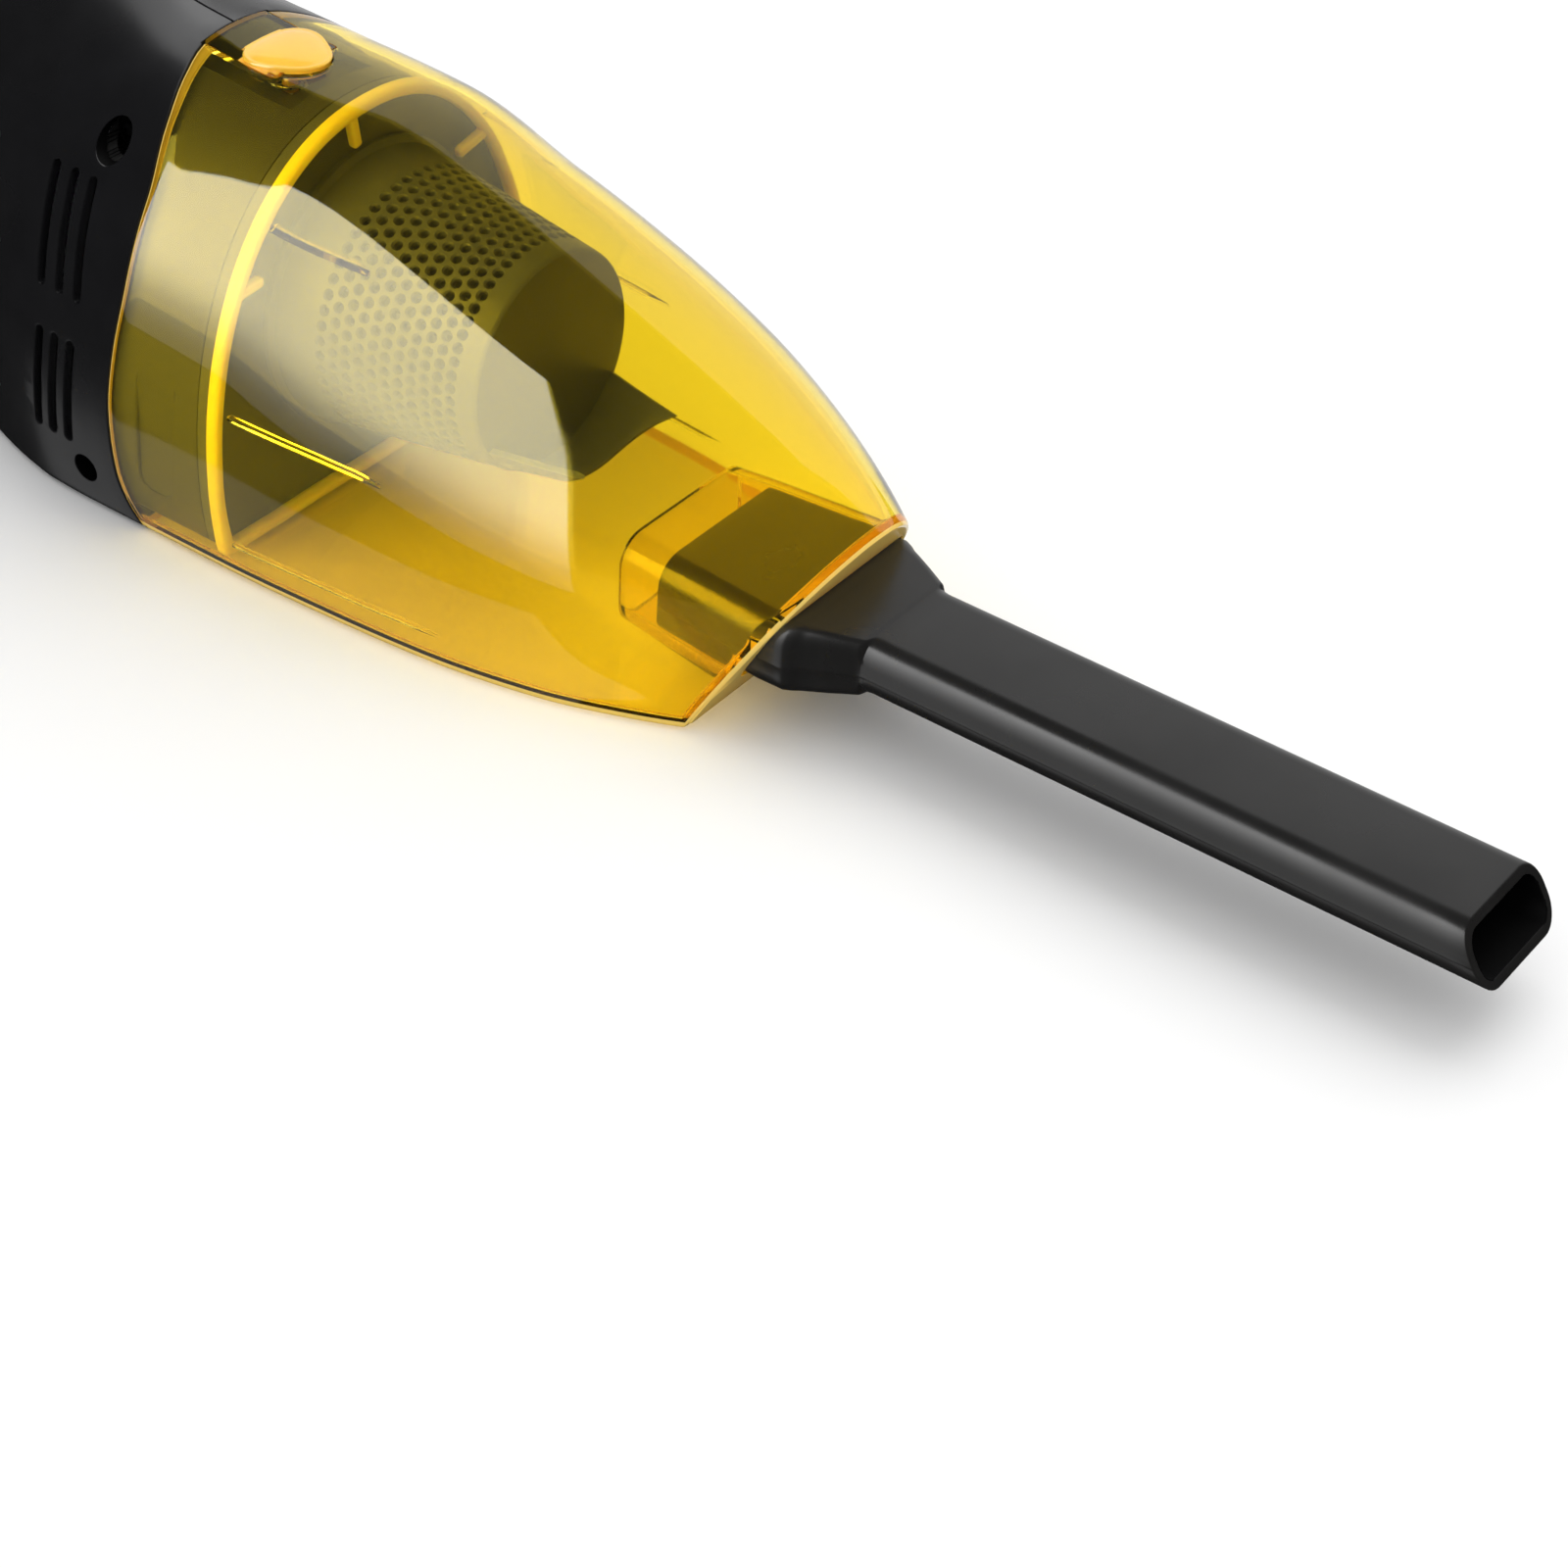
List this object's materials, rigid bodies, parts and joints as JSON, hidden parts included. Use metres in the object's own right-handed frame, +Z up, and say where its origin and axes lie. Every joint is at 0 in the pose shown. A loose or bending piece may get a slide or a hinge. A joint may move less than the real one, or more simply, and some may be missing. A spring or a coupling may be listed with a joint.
{
  "type": "handheld vacuum",
  "caption": "Corded handheld vacuum with overhead loop handle, transparent amber dust cup, perforated cone filter and pull-off crevice tool.",
  "frame": {"origin": "on the flat underside, under the middle of the overall length and width", "axes": "+X towards the nose and the crevice tool, +Y to the object's left, +Z up"},
  "size_m": [0.4844, 0.108, 0.1238],
  "materials": {
    "shell_black": "satin-gloss moulded",
    "collar_black": "satin moulded",
    "tool_black": "satin-gloss moulded",
    "filter_black": "satin moulded",
    "inner_black": "plain moulded",
    "cup_amber": "transparent, polished",
    "button_amber": "opaque, polished",
    "seal_yellow": "smooth soft",
    "rubber_black": "matt",
    "spring_steel": "bright wire",
    "shaft_steel": "ground",
    "can_steel": "plated",
    "screw_black": "black oxide",
    "copper_winding": "lacquered wire",
    "magnet_dark": "sintered",
    "end_cap_white": "plain moulded",
    "fan_white": "plain moulded",
    "filter_media": "pleated non-woven, dark",
    "switch_dark": "plain moulded",
    "lead_red": "insulated wire",
    "lead_black": "insulated wire"
  },
  "bodies": {
    "housing": {"body_shell_left": "shell_black", "body_shell_right": "shell_black", "front_collar": "collar_black", "release_spring": "spring_steel", "fan_shroud": "inner_black", "fan_guard": "inner_black", "motor_can": "can_steel", "motor_magnet_left": "magnet_dark", "motor_magnet_right": "magnet_dark", "motor_end_cap": "end_cap_white", "motor_bracket": "inner_black", "motor_damper": "rubber_black", "switch_bezel": "inner_black", "switch_body": "switch_dark", "cable_gland": "rubber_black", "lead_inlet_to_switch": "lead_red", "lead_inlet_to_motor": "lead_black", "lead_switch_to_motor": "lead_black", "shell_screw_1": "screw_black", "shell_screw_2": "screw_black", "shell_screw_3": "screw_black", "shell_screw_4": "screw_black", "shell_screw_5": "screw_black", "shell_screw_6": "screw_black"},
    "cup": {"dust_cup": "cup_amber"},
    "tool": {"crevice_tool": "tool_black"},
    "filter": {"filter_flange": "filter_black", "filter_cage": "filter_black", "filter_element": "filter_media", "seal_ring": "seal_yellow"},
    "button": {"release_button": "button_amber"},
    "rotor": {"fan_impeller": "fan_white", "motor_shaft": "shaft_steel", "motor_armature": "copper_winding"},
    "switch": {"switch_slider": "button_amber"}
  },
  "joints": [
    {"name": "cup_pull", "type": "slide", "parent": "housing", "child": "cup", "axis": [1, 0, 0], "range_m": [0, 0.15]},
    {"name": "tool_pull", "type": "slide", "parent": "cup", "child": "tool", "axis": [1, 0, 0], "range_m": [0, 0.055]},
    {"name": "filter_pull", "type": "slide", "parent": "housing", "child": "filter", "axis": [1, 0, 0], "range_m": [0, 0.06]},
    {"name": "button_press", "type": "slide", "parent": "housing", "child": "button", "axis": [0, 0, -1], "range_m": [0, 0.0025], "stiffness_N_per_m": 700, "springref_m": -0.0008},
    {"name": "motor_spin", "type": "hinge", "parent": "housing", "child": "rotor", "pos_m": [-0.13216, 0, 0.048], "axis": [1, 0, 0], "continuous": true},
    {"name": "switch_slide", "type": "slide", "parent": "housing", "child": "switch", "axis": [0.9272, 0, -0.3746], "range_m": [0, 0.006]}
  ],
  "couplings": [
    {"joint": "filter_pull", "follows": "cup_pull", "ratio": 0.4}
  ]
}
